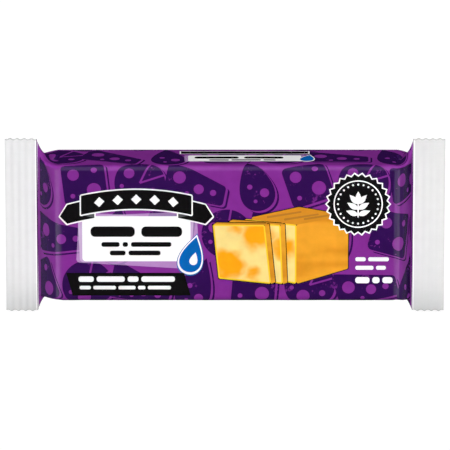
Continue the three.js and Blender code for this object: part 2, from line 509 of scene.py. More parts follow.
def wrapped_film(u, v):
    return taut_film(u, v) + normals_of(taut_film, u, v) * slack(u, v)[:, None]


along_middle = np.linspace(-LEFT_TAPER["seal_u"], RIGHT_TAPER["seal_u"], RUN_POINTS)
front_slack = slack(along_middle, np.zeros_like(along_middle))
print("slack along the front in mm:", front_slack.min().round(2), "to", front_slack.max().round(2))

# %% [markdown]
# ## Drawing the print
#
# The print could be an image, but here it is drawn as plain outlines on the flat film, as a
# sign maker cuts vinyl. Each outline has an ink, and a later one lies over an earlier one.
# Outlines stay sharp at any distance, and each ink gets a finish of its own. Round stretches
# come from a formula, with short enough steps to look round.

# %% Outline helpers
PRINT = []
LONGEST_STEP = 1.0
STEPS_PER_RADIUS, FEWEST_STEPS = 2.2, 6
SHARPEST_CORNER = 0.02


def paint(ink, outline):
    """Adds an outline in this ink, on top of all before it."""
    points = np.asarray(outline, float)
    ahead = np.roll(points, -1, axis=0)
    area = np.sum(points[:, 0] * ahead[:, 1] - ahead[:, 0] * points[:, 1])
    PRINT.append((ink, points if area > 0 else points[::-1]))


def arc(centre, radius, start=0, end=360):
    """Points along an arc, in degrees, with the end point left out of a full circle."""
    whole = abs(end - start) >= 360
    length = abs(math.radians(end - start)) * radius
    step = min(LONGEST_STEP, radius / STEPS_PER_RADIUS)
    count = max(FEWEST_STEPS, math.ceil(length / step))
    angles = np.radians(np.linspace(start, end, count + 1))[: count if whole else count + 1]
    x, y = centre[0] + radius * np.cos(angles), centre[1] + radius * np.sin(angles)
    return np.stack([x, y], axis=1)


def placed(outline, at=(0, 0), turn=0):
    c, s = math.cos(math.radians(turn)), math.sin(math.radians(turn))
    return np.asarray(outline, float) @ np.array([[c, s], [-s, c]]) + np.asarray(at, float)


def rounded(corners, radius=0.0, grow=0.0):
    """A convex outline with rounded corners, its sides moved out by grow."""
    corners = [Vector(corner) for corner in corners]
    turned = sum(a.x * b.y - b.x * a.y for a, b in zip(corners, corners[1:] + corners[:1]))
    if turned < 0:
        corners.reverse()
    round_by = max(radius + grow, SHARPEST_CORNER)
    inset = round_by - grow
    points = []
    for index, corner in enumerate(corners):
        inward = (corner - corners[index - 1]).normalized()
        outward = (corners[(index + 1) % len(corners)] - corner).normalized()
        half = math.acos(max(-1, min(1, inward.dot(outward)))) / 2
        normals = [Vector((side.y, -side.x)) for side in (inward, outward)]
        towards_middle = -(normals[0] + normals[1]).normalized()
        centre = corner + towards_middle * inset / math.cos(half)
        start = math.degrees(math.atan2(normals[0].y, normals[0].x))
        points += list(arc(centre, round_by, start, start + math.degrees(2 * half)))
    return points


def box_outline(at, width, height, radius=0.0):
    x, y = width / 2, height / 2
    return placed(rounded([(-x, -y), (x, -y), (x, y), (-x, y)], radius), at)


# %% [markdown]
# ## The pattern all round the pack
#
# The ground is purple, and over it runs a big pattern in dark purple, one motif every couple
# of centimetres. The motifs here are a wheel with one wedge cut but not yet taken out, a wedge,
# a slice and a drop of milk, each with the round holes of a cheese. A thin line follows each
# motif on its lower right, as a shifted printing plate leaves it. The rows are spaced so that
# one runs along the middle of each narrow side, and the strip of the back seam stays plain.

# %% Motifs, in mm
WHEEL_RADIUS, CUT_LENGTH, CUT_WIDTH, CUT_TURNS = 10.3, 10.8, 0.8, (22, 68)
WEDGE, WEDGE_ROUNDING = [(-12.4, -7.6), (12.4, -7.6), (12.4, 0.6), (-12.4, 8.4)], 1.6
SLICE_SIDE, SLICE_ROUNDING = 17.6, 2.2
DROP_RADIUS, DROP_LENGTH, DROP_POWER, DROP_TURN_STEP = 9.6, 1.25, 1.2, 8

# Each hole has its place in the motif and its radius.
WHEEL_HOLES = [(-4.6, 3.8, 2.2), (-2.2, -5.0, 2.7), (5.4, -3.0, 1.3), (-7.2, -1.8, 0.9)]
WEDGE_HOLES = [(-7.0, 1.0, 2.6), (1.6, -2.4, 2.1), (7.6, -2.8, 1.3), (-2.8, -5.0, 0.9)]
DROP_HOLES = [(2.8, -5.0, 1.9), (-2.4, -1.2, 1.1), (-1.6, -7.6, 0.8)]
SLICE_HOLES = [(-4.0, 3.8, 2.4), (3.6, -3.4, 2.9), (4.6, 5.0, 1.3), (-5.2, -5.0, 1.0)]


def milk_drop(radius):
    """A drop with its tip up."""
    turn = np.radians(np.arange(0, 360, DROP_TURN_STEP))
    across = radius * np.sin(turn) * np.sin(turn / 2) ** DROP_POWER
    return np.stack([across, DROP_LENGTH * radius * np.cos(turn)], axis=1)


def cut(turn):
    """A thin cut from the middle of the wheel outwards."""
    low, high = -CUT_WIDTH / 2, CUT_WIDTH / 2
    return placed([(0, low), (CUT_LENGTH, low), (CUT_LENGTH, high), (0, high)], turn=turn)


def holes(places):
    return [arc((x, y), radius) for x, y, radius in places]


MOTIFS = [
    (arc((0, 0), WHEEL_RADIUS), [cut(turn) for turn in CUT_TURNS] + holes(WHEEL_HOLES)),
    (rounded(WEDGE, WEDGE_ROUNDING), holes(WEDGE_HOLES)),
    (milk_drop(DROP_RADIUS), holes(DROP_HOLES)),
    (box_outline((0, 0), SLICE_SIDE, SLICE_SIDE, SLICE_ROUNDING), holes(SLICE_HOLES)),
]
print("motifs:", len(MOTIFS))

# %% Motifs stop short of the seals
LINE_SHIFTS = [("dark_ink", (1.55, -1.35)), ("purple_film", (0.85, -0.75))]
PLAIN_MARGIN = 3.4  # film without the pattern beside each seal
SLIVER = 1  # what is left of a motif is left out under this length


def cut_off(outline, limit):
    """What is left of an outline on the pack's side of a line across the film."""
    kept = []
    for start, end in zip(outline, np.roll(outline, -1, axis=0)):
        inside = [math.copysign(1, limit) * (limit - point[0]) for point in (start, end)]
        if inside[0] > 0:
            kept.append(start)
        if inside[0] * inside[1] < 0:
            kept.append(mix(start, end, inside[0] / (inside[0] - inside[1])))
    return np.array(kept).reshape(-1, 2)


def paint_short_of_seals(ink, outline):
    """Paints an outline cut off beside the seals, or leaves it out if little of it is left."""
    for limit in (PLAIN_MARGIN - LEFT_TAPER["seal_u"], RIGHT_TAPER["seal_u"] - PLAIN_MARGIN):
        outline = cut_off(outline, limit)
    if len(outline) and np.ptp(outline[:, 0]) > SLIVER:
        paint(ink, outline)


def print_motif(motif, at, turn):
    body, gaps = motif
    outline = placed(body, at, turn)
    for ink, shift in LINE_SHIFTS:
        paint_short_of_seals(ink, outline + np.array(shift))
    paint_short_of_seals("dark_ink", outline)
    for gap in gaps:
        paint_short_of_seals("purple_film", placed(gap, at, turn))


# %% Rows of motifs
ROW_PITCH, MOTIF_PITCH = 21.5, 22.6
ROWS, COLUMNS = range(-3, 4), range(-4, 5)
MOST_DRIFT, MOST_TURN = 0.8, 24
dice = random.Random(11)

for row in ROWS:
    for column in COLUMNS:
        drift = dice.uniform(-MOST_DRIFT, MOST_DRIFT)
        at = ((column + 0.5 * (row % 2)) * MOTIF_PITCH + drift, row * ROW_PITCH)
        motif = MOTIFS[(column + 2 * (row % 2) + 3 * (row // 2)) % len(MOTIFS)]
        print_motif(motif, at, dice.uniform(-MOST_TURN, MOST_TURN))
print("outlines in the pattern:", len(PRINT))

# %% [markdown]
# ## The label
#
# The front carries a white label on two tilted lilac cards, with a black band arched over it.
# Where a shop pack would have its words there are plain bars, as in a layout before its text
# is set. A blue drop of milk sits on the label's corner, and a black tag lies below.

# %% Bars in the place of words
BAR_ROUNDING = 0.42  # as a share of the bar's height

# Each row has its left end, its top and its height, the bars' widths, and the gap between them.
LABEL_BARS = [
    (-54.6, 3.2, 4.4, [18.0, 16.6], 2.6),
    (-50.2, -3.4, 2.0, [7.4, 2.2, 16.4], 1.2),
    (-46.8, -7.0, 2.0, [6.4, 13.0], 1.2),
]
TAG_BARS = [
    (-59.6, -17.9, 2.3, [6.2, 11.4, 4.4, 13.6], 1.2),
    (-59.2, -21.9, 1.5, [4.6, 9.2, 7.0, 3.0, 9.4], 1.0),
]
SMALL_PRINT = [
    (53.0, -9.8, 1.7, [4.2, 8.4], 1.0),
    (53.0, -13.4, 1.7, [7.4, 4.0], 1.0),
    (53.0, -18.2, 2.6, [5.8, 3.0, 4.2], 1.1),
]
SIDE_BARS = [
    (-12.4, 43.8, 3.2, [18.0, 16.0], 2.2),
    (-6.4, 39.2, 1.6, [8.0, 12.0, 5.0], 1.0),
]


def print_bars(ink, rows):
    """Rows of bars with round ends, like lines of words."""
    for left, top, height, widths, gap in rows:
        for width in widths:
            middle = (left + width / 2, top - height / 2)
            paint(ink, box_outline(middle, width, height, BAR_ROUNDING * height))
            left += width + gap


print("rows of bars:", len(LABEL_BARS + TAG_BARS + SMALL_PRINT + SIDE_BARS))


# %% Label and cards
LABEL_AT, LABEL_SIZE, CARD_ROUNDING = (-36.0, -2.0), (44.0, 19.0), 1.5
LILAC_CARDS = [((-35.2, -1.2), 48.4, 19.4, 2.6), ((-36.6, -2.8), 46.6, 21.2, -3.4)]

for at, width, height, turn in LILAC_CARDS:
    card = box_outline((0, 0), width, height, CARD_ROUNDING)
    paint("lilac_card", placed(card, at, turn))
paint("white_ink", box_outline(LABEL_AT, *LABEL_SIZE, CARD_ROUNDING))
print_bars("black_ink", LABEL_BARS)
print("outlines with the label:", len(PRINT))

# %% Arched band over the label
BAND_AT, BAND_ARCH = (-36.0, 14.6), 100.0
BAND_FRONT = [(-22.4, -4), (22.4, -4), (22.4, 4), (-22.4, 4)]
BAND_TAIL = [(17, -6.4), (28, -6.4), (31, -2.4), (28, 1.6), (17, 1.6)]
BAND_FOLD = [(22.4, -4), (17, -4), (17, -6.4)]
BAND_ROUNDING, BAND_BORDER = 0.2, 0.55
DIAMONDS_AT, DIAMOND = (-15, -7.5, 0, 7.5, 15), 2.1


def bent(corners, radius=0.0, grow=0.0):
    """A rounded outline with extra points along its sides, bent to the band's arch."""
    outline = np.array(rounded(corners, radius, grow))
    ahead = np.roll(outline, -1, axis=0)
    lengths = np.hypot(*(ahead - outline).T)
    counts = [max(1, math.ceil(length / LONGEST_STEP)) for length in lengths]
    runs = [np.linspace(0, 1, count, endpoint=False)[:, None] for count in counts]
    points = np.concatenate([mix(a, b, run) for a, b, run in zip(outline, ahead, runs)])
    points[:, 1] -= points[:, 0] ** 2 / (2 * BAND_ARCH)
    return placed(points, BAND_AT)


def paint_band(corners):
    paint("white_ink", bent(corners, BAND_ROUNDING, BAND_BORDER))
    paint("black_ink", bent(corners, BAND_ROUNDING))


for hand in (-1, 1):
    paint_band([(hand * x, y) for x, y in BAND_TAIL])
    paint("grey_ink", bent([(hand * x, y) for x, y in BAND_FOLD]))
paint_band(BAND_FRONT)
for x in DIAMONDS_AT:
    paint("white_ink", bent([(x - DIAMOND, 0), (x, -DIAMOND), (x + DIAMOND, 0), (x, DIAMOND)]))
print("outlines with the band:", len(PRINT))

# %% Drop of milk
DROP_AT, GLINT_AT, DROP_TURN = (-13.4, -8.6), (-12.6, -10.4), -14
DROP_RINGS = [("blue_ink", 7.3), ("white_ink", 6.9), ("blue_ink", 6.1)]
GLINT_RADIUS = 2.2

for ink, radius in DROP_RINGS:
    paint(ink, placed(milk_drop(radius), DROP_AT, DROP_TURN))
paint("white_ink", placed(milk_drop(GLINT_RADIUS), GLINT_AT, DROP_TURN))
print("outlines with the drop:", len(PRINT))

# %% Black tag
TAG_LEFT, TAG_RIGHT, TAG_LOW, TAG_HIGH, TAG_SLANT = -62.0, -14.0, -26.0, -16.4, 2.6

tag_foot = [(TAG_LEFT, TAG_LOW), (TAG_RIGHT, TAG_LOW)]
tag_head = [(TAG_RIGHT - TAG_SLANT, TAG_HIGH), (TAG_LEFT - TAG_SLANT, TAG_HIGH)]
paint("black_ink", tag_foot + tag_head)
print_bars("white_ink", TAG_BARS)
print("outlines with the tag:", len(PRINT))

# %% [markdown]
# ## The picture of the cheese
#
# Beside the label the pack shows what is in it: a marbled block with two slices cut from its
# end. It is drawn as flat fields, a cut face, a long side and a top, with a thin bright rim
# where the light catches the edges. The soft marbling of the cut faces comes later, in their
# material.

# %% Block and slices, in mm
CHEESE_AT = (8.0, -16.6)
FACE = [(0, 0), (21, -4.5), (21, 20.5), (0, 23)]
LONG_SIDE = [(21, -4.5), (42, 2.0), (42, 24.5), (21, 20.5)]
TOP = [(0, 23), (21, 20.5), (42, 24.5), (22, 28)]
STREAKS = [[(9, 23.2), (23, 25.6)], [(16, 22.2), (30, 24.6)], [(24, 22.4), (36, 24.4)]]
STREAK_WIDTHS = (0.9, 0.7)  # where it starts and where it ends
SLICE_SHIFTS = [((-5.6, -1.0), 2.5), ((-10.6, -2.2), 6.0)]
SLICE_EDGE = [(21, -4.5), (22.8, -3.9), (22.8, 21.0), (21, 20.5)]
SLICE_TOP = [(0, 23), (21, 20.5), (22.8, 21.0), (1.8, 23.6)]
DARK_BORDER, RIM_WIDTH = 0.35, 0.6


def print_cheese(ink, corners, shift=(0, 0), turn=0, radius=0.8, grow=0.0):
    at = (CHEESE_AT[0] + shift[0], CHEESE_AT[1] + shift[1])
    paint(ink, placed(rounded(corners, radius, grow), at, turn))


for corners in (FACE, LONG_SIDE, TOP):
    print_cheese("black_ink", corners, grow=DARK_BORDER)
print_cheese("cheese_top", TOP, radius=0.6)
for (x0, y0), (x1, y1) in STREAKS:
    streak = [(x0, y0), (x1, y1), (x1, y1 + STREAK_WIDTHS[1]), (x0, y0 + STREAK_WIDTHS[0])]
    print_cheese("cheese_streak", streak, radius=0.3)
print_cheese("cheese_side", LONG_SIDE)
print_cheese("cheese_rim", FACE)
print_cheese("cheese_face", FACE, grow=-RIM_WIDTH)
for shift, turn in SLICE_SHIFTS:
    for corners in (FACE, SLICE_EDGE, SLICE_TOP):
        print_cheese("black_ink", corners, shift, turn, radius=0.3, grow=DARK_BORDER)
    print_cheese("cheese_side", SLICE_EDGE, shift, turn, radius=0.2)
    print_cheese("cheese_top", SLICE_TOP, shift, turn, radius=0.2)
    print_cheese("cheese_rim", FACE, shift, turn)
    print_cheese("cheese_face", FACE, shift, turn, grow=-RIM_WIDTH)
print("outlines with the cheese:", len(PRINT))

# %% [markdown]
# ## The round badge and the small print
#
# A black badge with pointed teeth sits over the far end of the cheese. It holds a ring, a
# circle of dots and a sprig of leaves. The upper narrow side repeats the label in small, so
# that the pack can be told from its edge.

# %% Badge, in mm
BADGE_AT = (54.0, 12.6)
TEETH, TOOTH_DEPTH = 26, 1.2
BADGE_RADIUS, BADGE_BORDER, RING = 12.7, 13.4, (10.0, 9.5)
DOTS, DOT_CIRCLE, DOT_RADIUS = 24, 8.2, 0.42
STEM_FOOT, STEM_MIDDLE, STEM_SIZE, STEM_ROUNDING = -5.6, -2.4, (0.6, 6.4), 0.2
LEAF_PAIRS = [(1.0, 20), (3.4, 32), (5.6, 48)]  # height over the stem's foot, and turn
LEAF_SIZE, TOP_LEAF_SIZE, TOP_LEAF_AT = (5.2, 2.3), (4.4, 2.1), 0.9
LEAF_POINTS, LEAF_POWER = 9, 0.8


def on_badge(x, y):
    return (BADGE_AT[0] + x, BADGE_AT[1] + y)


def toothed(radius):
    angles = np.radians(np.arange(2 * TEETH) * 180 / TEETH)
    radii = np.where(np.arange(2 * TEETH) % 2, radius - TOOTH_DEPTH, radius)
    return np.stack(on_badge(radii * np.cos(angles), radii * np.sin(angles)), axis=1)


def leaf(length, width):
    along = np.linspace(0, 1, LEAF_POINTS)
    half = width / 2 * np.sin(np.pi * along**LEAF_POWER)
    upper = np.stack([length * along, half], axis=1)
    return np.concatenate([upper, (upper * [1, -1])[-2:0:-1]])


paint("white_ink", toothed(BADGE_BORDER))
paint("black_ink", toothed(BADGE_RADIUS))
for ink, radius in zip(("white_ink", "black_ink"), RING):
    paint(ink, arc(BADGE_AT, radius))
for dot in range(DOTS):
    turn = math.radians(360 / DOTS * dot)
    middle = on_badge(DOT_CIRCLE * math.cos(turn), DOT_CIRCLE * math.sin(turn))
    paint("white_ink", arc(middle, DOT_RADIUS))
paint("white_ink", box_outline(on_badge(0, STEM_MIDDLE), *STEM_SIZE, STEM_ROUNDING))
for rise, turn in LEAF_PAIRS:
    for lean in (turn, 180 - turn):
        paint("white_ink", placed(leaf(*LEAF_SIZE), on_badge(0, STEM_FOOT + rise), lean))
paint("white_ink", placed(leaf(*TOP_LEAF_SIZE), on_badge(0, TOP_LEAF_AT), 90))
print("outlines with the badge:", len(PRINT))

# %% Small print, and the label on the narrow side, in mm
SIDE_LABEL_AT, SIDE_LABEL_SIZE, SIDE_LABEL_ROUNDING = (8.0, 41.0), (46, 9), 0.8
SIDE_CARD_SIZE, SIDE_CARD_TURN = (49, 10), 1.2
SIDE_TAG_AT, SIDE_TAG_ROUNDING = (8, 50.0), 0.3
SIDE_DROP_AT, SIDE_DROP_TURN = (33.6, 41.4), -10

print_bars("white_ink", SMALL_PRINT)
side_card = box_outline((0, 0), *SIDE_CARD_SIZE, SIDE_LABEL_ROUNDING)
paint("lilac_card", placed(side_card, SIDE_LABEL_AT, SIDE_CARD_TURN))
paint("white_ink", box_outline(SIDE_LABEL_AT, *SIDE_LABEL_SIZE, SIDE_LABEL_ROUNDING))
print_bars("black_ink", SIDE_BARS)
for ink, size in {"white_ink": (53, 4.6), "black_ink": (52, 3.8)}.items():
    paint(ink, box_outline(SIDE_TAG_AT, *size, SIDE_TAG_ROUNDING))
for ink, radius in {"white_ink": 4.4, "blue_ink": 3.8}.items():
    paint(ink, placed(milk_drop(radius), SIDE_DROP_AT, SIDE_DROP_TURN))
print("outlines with the side's label:", len(PRINT))

# %% [markdown]
# ## White ends
#
# The print ends at the seals, whose film is white. On the wrap a thin dark line of painted shade
# lies along the fold where the film turns flat, and at the left it runs onto the seal by a hair.
# On the seals a painted highlight, a bright line, lies beside that fold, and their two short ends
# have a thin grey rim of painted shade along the crease. All of these could be thin ridges, but
# they are lines a millimetre wide or less, so they are painted into the film's colour.

# %% Seals and the lines beside them, in mm
FIRST_STRIPE = len(PRINT)
# Widths of the painted shade along the fold, of the painted highlight beside it on the seals, and of
# the painted shade along the seals' creased short ends.
FOLD_SHADE_WIDTH, FOLD_HIGHLIGHT_WIDTH, CREASE_SHADE_WIDTH = 0.9, 0.6, 0.4
SHADE_ONTO_SEAL = {-1: 0.1, 1: 0.0}  # how far the print runs onto the left and the right seal
CREASE_SHADE_V = CREASE_V - CREASE_SHADE_WIDTH


def print_across(ink, start, end, low=-HALF_GIRTH, high=HALF_GIRTH):
    """A stripe right round the pack, or between two places round it."""
    paint(ink, [(start, low), (end, low), (end, high), (start, high)])


for end, taper in ((-1, LEFT_TAPER), (1, RIGHT_TAPER)):
    seal_u, end_u = taper["seal_u"], taper["end_u"]
    print_across("seal_film", end * seal_u, end * end_u)
    # Painted highlight: a bright line on the seal beside the fold.
    print_across("seal_edge", end * seal_u, end * (seal_u + FOLD_HIGHLIGHT_WIDTH))
    # Painted shade: a thin grey rim along each seal's creased short ends.
    for hand in (-1, 1):
        low, high = hand * CREASE_SHADE_V, hand * (HALF_GIRTH - CREASE_SHADE_V)
        print_across("seal_rim", end * seal_u, end * end_u, low, high)
    # Painted shade along the fold, where the film turns flat onto the seal.
    print_across("fold_line", end * (seal_u - FOLD_SHADE_WIDTH), end * (seal_u + SHADE_ONTO_SEAL[end]))
print("outlines in all:", len(PRINT))

# %% [markdown]
# ## From outlines to film
#
# The flat film now becomes a mesh. A plain grid would give the print ragged edges, and a
# Boolean cut for each of the shapes would be slow. A constrained Delaunay triangulation takes
# both at once: a grid of points for the film's bends, and all the outlines as edges that the
# triangles have to keep. It also says which outlines cover a triangle, and the last of them
# is the ink on top. The grid is fine where the film bends and coarse on the flat panels.

# %% Grid of the film, in mm
BEND_STEP, TAPER_STEP, BLOCK_STEP, STEPS_PER_RIB = 0.22, 0.5, 1.8, 14
BEND_REACH, ROLL_MARGIN = 3, 0.4  # film with the finest steps, past and before the roll-off
ROUND_STEPS = [1.5, 2 * EDGE_RADIUS / 10, 1.4, CREASE_REACH, 0.9]  # one for each stretch


def spaced(start, end, step):
    count = max(1, math.ceil((end - start) / step))
    return list(np.linspace(start, end, count + 1))[:-1]


def lines_along():
    lines = []
    for end, taper in ((-1, LEFT_TAPER), (1, RIGHT_TAPER)):
        block_end, seal_u, end_u = taper["block_end"], taper["seal_u"], taper["end_u"]
        part = spaced(block_end - ROLL_AHEAD - ROLL_MARGIN, block_end + BEND_REACH, BEND_STEP)
        part += spaced(block_end + BEND_REACH, seal_u, TAPER_STEP)
        part += spaced(seal_u, end_u, RIB_PITCH / STEPS_PER_RIB) + [end_u]
        lines += [end * u for u in part]
    low = ROLL_MARGIN + ROLL_AHEAD - LEFT_TAPER["block_end"]
    high = RIGHT_TAPER["block_end"] - ROLL_AHEAD - ROLL_MARGIN
    return np.array(sorted(lines + spaced(low, high, BLOCK_STEP)[1:]))


def lines_round():
    """From the front's middle to the fold, then mirrored to the back and to the other side."""
    quarter = [CREASE_SHADE_V]
    for low, high, step in zip(SECTION_KNOTS, SECTION_KNOTS[1:], ROUND_STEPS):
        quarter += spaced(low, high, step)
    quarter = sorted(quarter)
    half = quarter + [FOLD_V] + [HALF_GIRTH - v for v in reversed(quarter)]
    return np.array([-v for v in reversed(half[1:])] + half)


ALONG, ROUND = lines_along(), lines_round()
print("grid of the film:", len(ALONG), "by", len(ROUND))

# %% Outlines with points close enough to follow the bends
CLOSE_STEP, WIDE_STEP = 0.6, 2.0
BENT_BEFORE_END, BENT_BESIDE_EDGE = 3, 4


def followed(outline):
    points = []
    for start, end in zip(outline, np.roll(outline, -1, axis=0)):
        middle_u, middle_v = np.abs(start + end) / 2
        near_end = middle_u > LEFT_TAPER["block_end"] - BENT_BEFORE_END
        near_edge = abs(middle_v - HALF_WIDTH) < BENT_BESIDE_EDGE
        step = CLOSE_STEP if near_end or near_edge else WIDE_STEP
        count = max(1, math.ceil(math.hypot(*(end - start)) / step))
        points += [mix(start, end, t) for t in np.linspace(0, 1, count, endpoint=False)]
    return points


sheet_points = [(float(u), float(v)) for u in ALONG for v in ROUND]
outline_faces = []
for layer, (ink, outline) in enumerate(PRINT):
    first = len(sheet_points)
    points = outline if layer >= FIRST_STRIPE else followed(outline)
    sheet_points += [(float(u), float(v)) for u, v in points]
    outline_faces.append(list(range(first, len(sheet_points))))
print("points on the flat film:", len(sheet_points))

# %% Triangles of the flat film
WHOLE_SHEET, SAME_POINT = 0, 1e-4

flat, _, triangles, _, _, covering = delaunay_2d_cdt(
    [Vector(point) for point in sheet_points], [], outline_faces, WHOLE_SHEET, SAME_POINT, True
)
flat = np.array([tuple(point) for point in flat])
print("triangles:", len(triangles), "points:", len(flat))

# %% Weld the tube where its two edges meet
ON_EDGE = 1e-3

low_edge = {}
for index, (u, v) in enumerate(flat):
    if v < -HALF_GIRTH + ON_EDGE:
        low_edge[round(float(u), 4)] = index
weld = np.arange(len(flat))
for index, (u, v) in enumerate(flat):
    if v > HALF_GIRTH - ON_EDGE:
        weld[index] = low_edge[round(float(u), 4)]
kept = np.unique(weld)
new_index = np.full(len(flat), -1)
new_index[kept] = np.arange(len(kept))
weld = new_index[weld]
u, v = flat[kept].T
u = np.clip(u, -LEFT_TAPER["end_u"], RIGHT_TAPER["end_u"])
film_points = wrapped_film(u, v) * MM
film_normals = normals_of(wrapped_film, u, v)
print("welded points:", len(film_points))

# %% Faces and their inks
LAYERS = [ink for ink, _ in PRINT]


def ink_on_top(shapes):
    """The ink that shows. The lilac cards are see-through, so what lies below counts too."""
    inks = [LAYERS[shape] for shape in sorted(shapes, reverse=True)] + ["purple_film"]
    if inks[0] != "lilac_card":
        return inks[0]
    if inks[1] == "lilac_card":
        return "lilac_twice"
    return "lilac_over_dark" if inks[1] == "dark_ink" else "lilac_card"


faces = []  # corners and ink of each face
face_middles = []
for triangle, shapes in zip(triangles, covering):
    corners = [int(weld[index]) for index in triangle]
    if len(set(corners)) == 3:
        faces.append((corners, ink_on_top(shapes)))
        face_middles.append(float(u[corners].mean()))
print("faces:", len(faces), "inks:", sorted({ink for _, ink in faces}))


# %% Close the film at one place along it
def closing_faces(edge, ink, facing):
    """A strip of faces from the front layer to the back layer, facing -1 or +1 along X."""
    ring = {}
    for index in np.flatnonzero(np.abs(u - edge) < ON_EDGE):
        ring[round(float(v[index]), 3)] = int(index)
    front = sorted(at_v for at_v in ring if abs(at_v) <= FOLD_V + ON_EDGE)

    def behind(at_v):
        back = round(math.copysign(HALF_GIRTH - abs(at_v), at_v), 3)
        return ring[back] if back in ring else ring[-back]

    strip = []
    for low, high in zip(front, front[1:]):
        corners = [ring[low], ring[high], behind(high), behind(low)]
        corners = [index for place, index in enumerate(corners) if index not in corners[:place]]
        strip.append((corners if facing < 0 else corners[::-1], ink))
    return strip


# %% [markdown]
# ## Inks and film finishes
#
# The film is clear and glossy, and the inks lie under it, so all of them share one gloss and
# one fine crinkle and differ in colour. No print is quite even: a slow mottle runs through
# every ink, and the dark pattern is meant to look hand printed, with fine flecks where the
# purple shows through. The crinkle is far finer than the mesh, so it is a bump.

# %% Finish shared by all inks
FILM_ROUGHNESS, FILM_CRINKLE, CRINKLE_DEPTH = 0.07, 0.03, 0.0004
INK_MOTTLE = 0.05
CLOUD, SMEAR, CRINKLE = (260, 4), (70, 2), (330, 3)  # waves in a metre, and detail
USUAL_NOISE = (0.3, 0.7)
LEAST_ROUGH, MOST_ROUGH = 0.8, 1.25


def noise(tree, place, scale, detail, **inputs):
    inputs = {"Vector": place, "Scale": scale, "Detail": detail, **inputs}
    return add_node(tree, "ShaderNodeTexNoise", inputs).outputs


def spread_out(tree, value, start, end, low, high):
    """Spreads the values from start to end evenly from low to high."""
    inputs = {0: value, 1: start, 2: end, 3: low, 4: high}
    return add_node(tree, "ShaderNodeMapRange", inputs).outputs[0]


def film_finish(name, mottle=INK_MOTTLE, roughness=FILM_ROUGHNESS, crinkle=FILM_CRINKLE):
    """Returns the material, its tree and shader, the place on the film, and the mottle."""
    material = bpy.data.materials.new(name)
    material.use_nodes = True
    tree = material.node_tree
    shader = tree.nodes["Principled BSDF"]
    place = add_node(tree, "ShaderNodeTexCoord").outputs["Object"]
    cloud, smear, crease = [noise(tree, place, *kind)[0] for kind in (CLOUD, SMEAR, CRINKLE)]
    bump_inputs = {"Height": crease, "Strength": crinkle, "Distance": CRINKLE_DEPTH}
    bump = add_node(tree, "ShaderNodeBump", bump_inputs)
    least, most = roughness * LEAST_ROUGH, roughness * MOST_ROUGH
    tree.links.new(spread_out(tree, smear, *USUAL_NOISE, least, most), shader.inputs["Roughness"])
    tree.links.new(bump.outputs[0], shader.inputs["Normal"])
    shade = spread_out(tree, cloud, *USUAL_NOISE, 1 - mottle, 1 + mottle)
    return material, tree, shader, place, shade


def tint(tree, shader, colour, shade):
    """Gives the shader a colour, or the output of a node, multiplied by the mottle."""
    mixed = vector_math(tree, "MULTIPLY", colour, shade).outputs[0]
    tree.links.new(mixed, shader.inputs["Base Color"])


# %% Plain inks
WHITE_MOTTLE = 0.012
PURPLE = (0.208, 0.0268, 0.260)
DARK_PURPLE = (0.029, 0.0052, 0.071)
COLOURS = {
    "purple_film": PURPLE,
    "black_ink": (0.006, 0.0055, 0.006),
    "grey_ink": (0.095, 0.095, 0.10),
    # Painted shade along the fold between the wrap and each seal.
    "fold_line": (0.078, 0.008, 0.10),
    "lilac_card": (0.445, 0.24, 0.52),
    "lilac_over_dark": (0.30, 0.18, 0.385),
    "lilac_twice": (0.56, 0.405, 0.62),
    "blue_ink": (0.004, 0.118, 0.43),
    "cheese_top": (0.64, 0.254, 0.020),
    "cheese_streak": (0.45, 0.18, 0.023),
    "cheese_rim": (0.94, 0.61, 0.029),
}


def plain_ink(name, colour, **finish):
    material, tree, shader, _, shade = film_finish(name, **finish)
    tint(tree, shader, colour, shade)
    return material


finishes = {name: plain_ink(name, colour) for name, colour in COLOURS.items()}
finishes["white_ink"] = plain_ink("white_ink", (0.95, 0.95, 0.95), mottle=WHITE_MOTTLE)
print("plain inks:", len(finishes))

# %% Dark pattern ink, with flecks
FLECK, PATCH = (900, 5), (150, 2)
FLECK_ROUGHNESS = 0.7
FLECKS_FROM, FLECKS_FULL, FLECK_SHARE = 1.20, 1.26, 0.6


def dark_pattern_ink():
    material, tree, shader, place, shade = film_finish("dark_ink")
    fleck = noise(tree, place, *FLECK, Roughness=FLECK_ROUGHNESS)[0]
    both = combined(tree, "ADD", fleck, noise(tree, place, *PATCH)[0])
    share = spread_out(tree, both, FLECKS_FROM, FLECKS_FULL, 0, FLECK_SHARE)
    inks = {"Factor": share, "A": (*DARK_PURPLE, 1), "B": (*PURPLE, 1)}
    mixed = add_node(tree, "ShaderNodeMix", inks, data_type="RGBA")
    tint(tree, shader, mixed.outputs["Result"], shade)
    return material


finishes["dark_ink"] = dark_pattern_ink()
print("flecks show", FLECK_SHARE, "of the purple")

# %% [markdown]
# ## Cheese inks
#
# The printed cheese is marbled: cream with soft orange spots on its cut faces, and faint
# streaks on its long side. Outlines would give the spots hard edges. So these two inks are
# colour ramps instead. The spots' ramp follows the distance from a few middles, which a noise
# bends a little, and the streaks' ramp follows a noise drawn out along the side.

# %% Marbled cut face of the printed cheese, in mm
CREAM, ORANGE = (0.90, 0.68, 0.247), (0.95, 0.365, 0.008)
MARBLING = [
    ((1.0, -13.0), 6.0),
    ((13.5, -0.5), 6.5),
    ((4.5, 2.5), 2.0),
    ((25.0, -6.0), 5.0),
    ((10.5, -16.5), 2.4),
]
MARBLE_SOFTNESS, MARBLE_BEND = 2.6, 10.0
MARBLE_NOISE, NOISE_MIDDLE = (130, 2), (0.5, 0.5, 0.5)
ON_THE_FLAT = (1, 1, 0)


def add_ramp(tree, value, low, high, interpolation="LINEAR"):
    """Goes from one colour to another. Each comes with its place on the ramp."""
    ramp = add_node(tree, "ShaderNodeValToRGB", {"Fac": value})
    ramp.color_ramp.interpolation = interpolation
    for element, (position, colour) in zip(ramp.color_ramp.elements, (low, high)):
        element.position = position
        element.color = (*colour, 1)
    return ramp.outputs["Color"]


